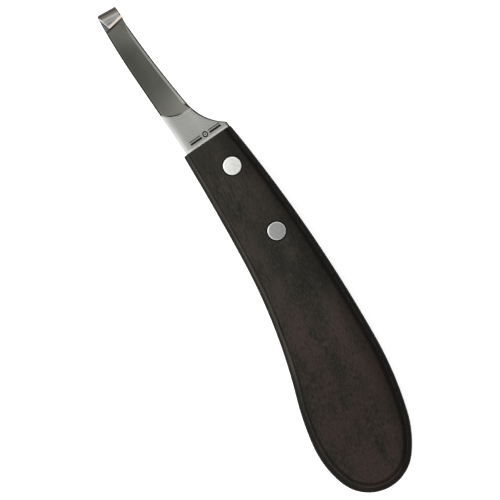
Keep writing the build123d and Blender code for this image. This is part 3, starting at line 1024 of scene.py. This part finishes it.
def steel_material():
    """Satin steel: a light ricasso, a darker ground face, a bright bevel, and dull narrow sides darkened
    by painted shade, with painted shadow, shade and highlights about the curl.
    """
    g = Material("satin_steel")
    ahead = g.minus(g.x, FRONT / MM)  # of the handle's front face
    aside = g.minus(g.y, AXIS_Y / MM)  # of the blade's axis, towards the spine
    nx, ny, nz = g.normal()
    lines = g.noise((0.08, 12.0, 3.0), 2, 0.5)
    wheel = g.noise((6.0, 0.08, 0.6), 3, 0.6)
    cloud = g.noise((0.12, 0.2, 0.2), 3, 0.5)

    # ricasso and ground blade
    rim = g.product(g.ramp(ny, 0.12, 0.4), g.ramp(ahead, 18.0, 17.0))
    from_plunge = g.distance_from(FRONT / MM + PLUNGE[0], AXIS_Y / MM + PLUNGE[1])
    below_curl = g.ramp(g.z, CURL_Z, CURL_Z - 1.5)
    past_plunge = g.greatest(
        g.ramp(from_plunge, PLUNGE_RADIUS + 0.1, PLUNGE_RADIUS - 0.3),
        g.ramp(ahead, PLUNGE[0] - 4, PLUNGE[0]),
    )
    ground = g.product(past_plunge, below_curl, g.ramp(nz, 0.80, 0.93))
    # painted reflection: along the ground face its grey falls from 13 to 30 mm ahead of the handle and
    # lifts again from 42 to 52 mm, following the bow
    grey = g.sum(g.ramp(ahead, 13.0, 30.0, 0.30, 0.148), g.ramp(ahead, 42.0, 52.0, 0.0, 0.09))
    bevel = g.product(g.ramp(ny, -0.2, -0.35), g.ramp(ahead, 16.0, 17.5))
    glint = g.ramp(ahead, 17.0, 27.0, 0.34, 0.25)

    # curl: the painted shadow under its flap, the painted shade on the flap's fold, the painted highlights
    # on its cut end and tapered side, and the painted shade on the blade beside that side
    past_cut = g.linear(aside, FLAP_SLANT, g.minus(ahead, FLAP_END_X))
    flap_shadow = g.product(g.ramp(past_cut, -1.25, -1.0), below_curl, g.ramp(aside, 0.0, 5.0, 0.3, 0.92))
    in_flap = g.ramp(g.z, CURL_Z, CURL_Z + 1.0)
    turned_over_shade = g.ramp(nx, 0.16, 0.52, 0.0, 0.92)
    cut_end_highlight = g.product(in_flap, g.ramp(nx, -0.5, -0.7))
    taper = g.product(in_flap, g.ramp(ny, 0.35, 0.5))
    past_side = g.linear(ahead, -FLAP_LEAN, g.minus(aside, FLAP_SIDE[1] - FLAP_LEAN * FLAP_SIDE[0]))
    beside_flap = g.product(g.ramp(past_side, 0.0, 0.25), g.ramp(ahead, 55.0, 56.5), g.ramp(ny, 0.3, 0.1))

    # dull and painted shade, near black: the narrow sides, the outside of the bend, its corner, and the
    # flap's unsharpened side
    spine_side = g.product(
        g.ramp(ny, 0.07, 0.24), g.ramp(ahead, 17.0, 18.2),
        g.greatest(g.ramp(ahead, 56.5, 55.5, 0.75, 1.0), g.ramp(ahead, 61.0, 61.6)),
        g.minus(1.0, taper),
    )
    dull_and_shade = g.greatest(
        spine_side,
        g.product(g.ramp(ny, -0.06, -0.2), g.ramp(ahead, 17.5, 16.0)),
        g.ramp(ny, -0.6, -0.75),
        g.product(g.ramp(nx, 0.6, 0.76), g.ramp(g.z, CURL_Z - 2, CURL_Z - 1)),
        g.product(g.ramp(aside, 6.9, 8.0), g.ramp(nx, 0.25, 0.5), in_flap),
        g.product(g.ramp(aside, HOOK_Y + 0.42, HOOK_Y + 0.3), in_flap, g.ramp(past_cut, 0.0, 0.2)),
    )

    mark = etched_mark(g, ahead, aside)
    colour = g.coats(
        g.mix(cloud, DARK_RICASSO, LIGHT_RICASSO),
        # painted highlight along the handle's front
        (g.ramp(ahead, 1.5, 0.3), FRONT_HIGHLIGHT),
        (rim, RIM_STEEL),
        (ground, g.combine(grey, grey, g.product(grey, GROUND_BLUE))),
        (bevel, g.combine(glint, glint, g.product(glint, BEVEL_BLUE))),
        (flap_shadow, DULL_AND_SHADED_STEEL),
        (g.product(in_flap, 0.35), FLAP_STEEL),
        (g.product(in_flap, turned_over_shade), FOLD_SHADE),
        (cut_end_highlight, CUT_END_HIGHLIGHT),
        (beside_flap, SHADED_STEEL),
        (g.product(taper, g.ramp(ahead, 60.8, 58.5, 0.2, 1.0)), TAPER_HIGHLIGHT),
        # painted shade over the dull narrow sides and the bend
        (dull_and_shade, DULL_AND_SHADED_STEEL),
        (mark, ETCHED),
    )
    rough = g.sum(g.ramp(lines, 0.3, 0.7, 0.24, 0.34), g.ramp(cloud, 0.3, 0.7, -0.03, 0.03))
    rough = g.sum(rough, g.product(ground, 0.08))
    scratches = g.bump(g.sum(lines, g.product(ground, wheel)), 0.0018, 0.5)
    metal = g.minus(1.0, g.greatest(g.product(dull_and_shade, 0.9), mark, cut_end_highlight, beside_flap, taper))
    g.shader(Base_Color=colour, Metallic=metal, Roughness=rough, Normal=scratches)
    g.shader(Anisotropic=0.3, Specular_IOR_Level=0.1)
    return g.material


def etched_mark(g, ahead, aside):
    """A small generic mark, darkened by etching: a ring round a dot, between two double bars."""
    w = g.minus(ahead, MARK_PLACE[0])
    u = g.minus(aside, MARK_PLACE[1])
    on_top = g.ramp(g.z, BLADE_BOTTOM + 2, BLADE_BOTTOM + 2.2)
    radius = g.math("SQRT", g.sum(g.product(u, u, RING_SQUASH), g.product(w, w)))
    ring = g.ramp(g.math("ABSOLUTE", g.minus(radius, RING_RADIUS)), *RING_HALF)
    dot = g.ramp(radius, *DOT_RADIUS)
    lines = [g.ramp(g.math("ABSOLUTE", g.minus(w, place)), gone, full) for place, gone, full in BAR_LINES]
    bars = g.product(g.band(g.math("ABSOLUTE", u), *BAR_SPAN), g.greatest(*lines))
    return g.product(g.greatest(ring, dot, bars), on_top)


def rivet_material():
    """Sanded aluminium heads, each with a painted highlight on its rim; the front head is painted brighter
    as a highlight, and is rougher.
    """
    g = Material("satin_rivet")
    cloud = g.noise((0.9, 0.9, 0.9), 4, 0.6)
    speckle = g.noise((6.0, 6.0, 6.0), 2, 0.6)
    front = g.ramp(g.x, RIVETS["rear"].x / MM + 8, RIVETS["front"].x / MM - 8)  # 1 on the front rivet, which is painted brighter as a highlight
    rim_highlight_colour = g.mix(front, HEAD_RIM_HIGHLIGHT, FRONT_RIM_HIGHLIGHT)
    # painted highlight on each head's rounded rim
    rim_highlights = [g.band(g.distance_from(*rivet / MM), *RIM_HIGHLIGHT_RADII) for rivet in RIVETS.values()]
    colour = g.coats(
        g.mix(cloud, DARK_HEAD, LIGHT_HEAD),
        (front, LIT_FRONT_HEAD),
        *((g.product(rim, 0.8), rim_highlight_colour) for rim in rim_highlights),
        (g.ramp(speckle, 0.52, 0.66, 0.0, 0.3), HEAD_SPECK),
    )
    rough = g.sum(g.ramp(cloud, 0.3, 0.7, 0.24, 0.36), g.product(front, 0.25))
    g.shader(Base_Color=colour, Metallic=1.0, Roughness=rough, Normal=g.bump(cloud, 0.02, 0.4))
    return g.material


def table_material():
    g = Material("pale_table")
    colour = g.mix(g.noise((0.02, 0.02, 0.02)), *TABLE_COLOURS)
    g.shader(Base_Color=colour, Roughness=0.9, Specular_IOR_Level=0.1)
    g.shader(Emission_Color=(1.0, 1.0, 1.0, 1.0), Emission_Strength=0.5)
    return g.material


def dress(piece, material):
    piece.data.materials.clear()
    piece.data.materials.append(material)


# -------- stage

def to_world(right, up, height):
    """A point given in millimetres right of and up from the picture's centre, and above the table."""
    c, s = math.cos(VIEW_TURN), math.sin(VIEW_TURN)
    return Vector((right * c - up * s, right * s + up * c, height)) * MM


def make_table():
    mesh = bpy.data.meshes.new("table")
    corners = [(-1, -1), (1, -1), (1, 1), (-1, 1)]
    mesh.from_pydata([(x * TABLE_REACH, y * TABLE_REACH, 0) for x, y in corners], [], [(0, 1, 2, 3)])
    table = add_object("table", mesh)
    dress(table, table_material())
    table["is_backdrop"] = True


def make_light():
    """A square soft box to the left of the picture, aimed at the knife."""
    data = bpy.data.lights.new("left_key", "AREA")
    data.shape = "SQUARE"
    data.size = LIGHT_SIZE
    data.energy = LIGHT_WATTS
    light = add_object("left_key", data)
    light.location = to_world(*LIGHT_PLACE)
    light.rotation_euler = (-light.location).to_track_quat("-Z", "Y").to_euler()
    light.visible_camera = False


def make_world():
    """A white studio: bright walls all round, a dim ceiling and a few soft patches."""
    world = bpy.data.worlds.new("studio")
    world.use_nodes = True
    g = Graph(world.node_tree)
    direction = g.node("ShaderNodeTexCoord").outputs["Generated"]
    total = WALLS
    for right, up, height, full, gone, strength in PATCHES:
        aim = to_world(right, up, height).normalized()
        low, high = math.cos(math.radians(gone)), math.cos(math.radians(full))
        total = g.sum(total, g.ramp(g.vector("DOT_PRODUCT", direction, aim), low, high, 0.0, strength))
    background = g.tree.nodes["Background"]
    g.put(background.inputs["Strength"], total)
    g.put(background.inputs["Color"], (1.0, 1.0, 1.0, 1.0))
    bpy.context.scene.world = world


def make_camera():
    data = bpy.data.cameras.new("camera")
    data.lens = LENS
    data.sensor_width = SENSOR
    data.clip_end = SIGHT
    camera = add_object("camera", data)
    camera.location = (*VIEW_CENTRE, VIEW_HEIGHT + VIEW_SPAN * LENS / SENSOR)
    camera.rotation_euler = (0, 0, VIEW_TURN)
    bpy.context.scene.camera = camera


def main():
    dress(make_handle(), wood_material())
    dress(make_blade(), steel_material())
    rivet = rivet_material()
    for piece in make_rivets():
        dress(piece, rivet)
    make_table()
    make_world()
    make_light()
    make_camera()
    bpy.context.scene.view_settings.view_transform = "Standard"


main()

low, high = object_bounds()
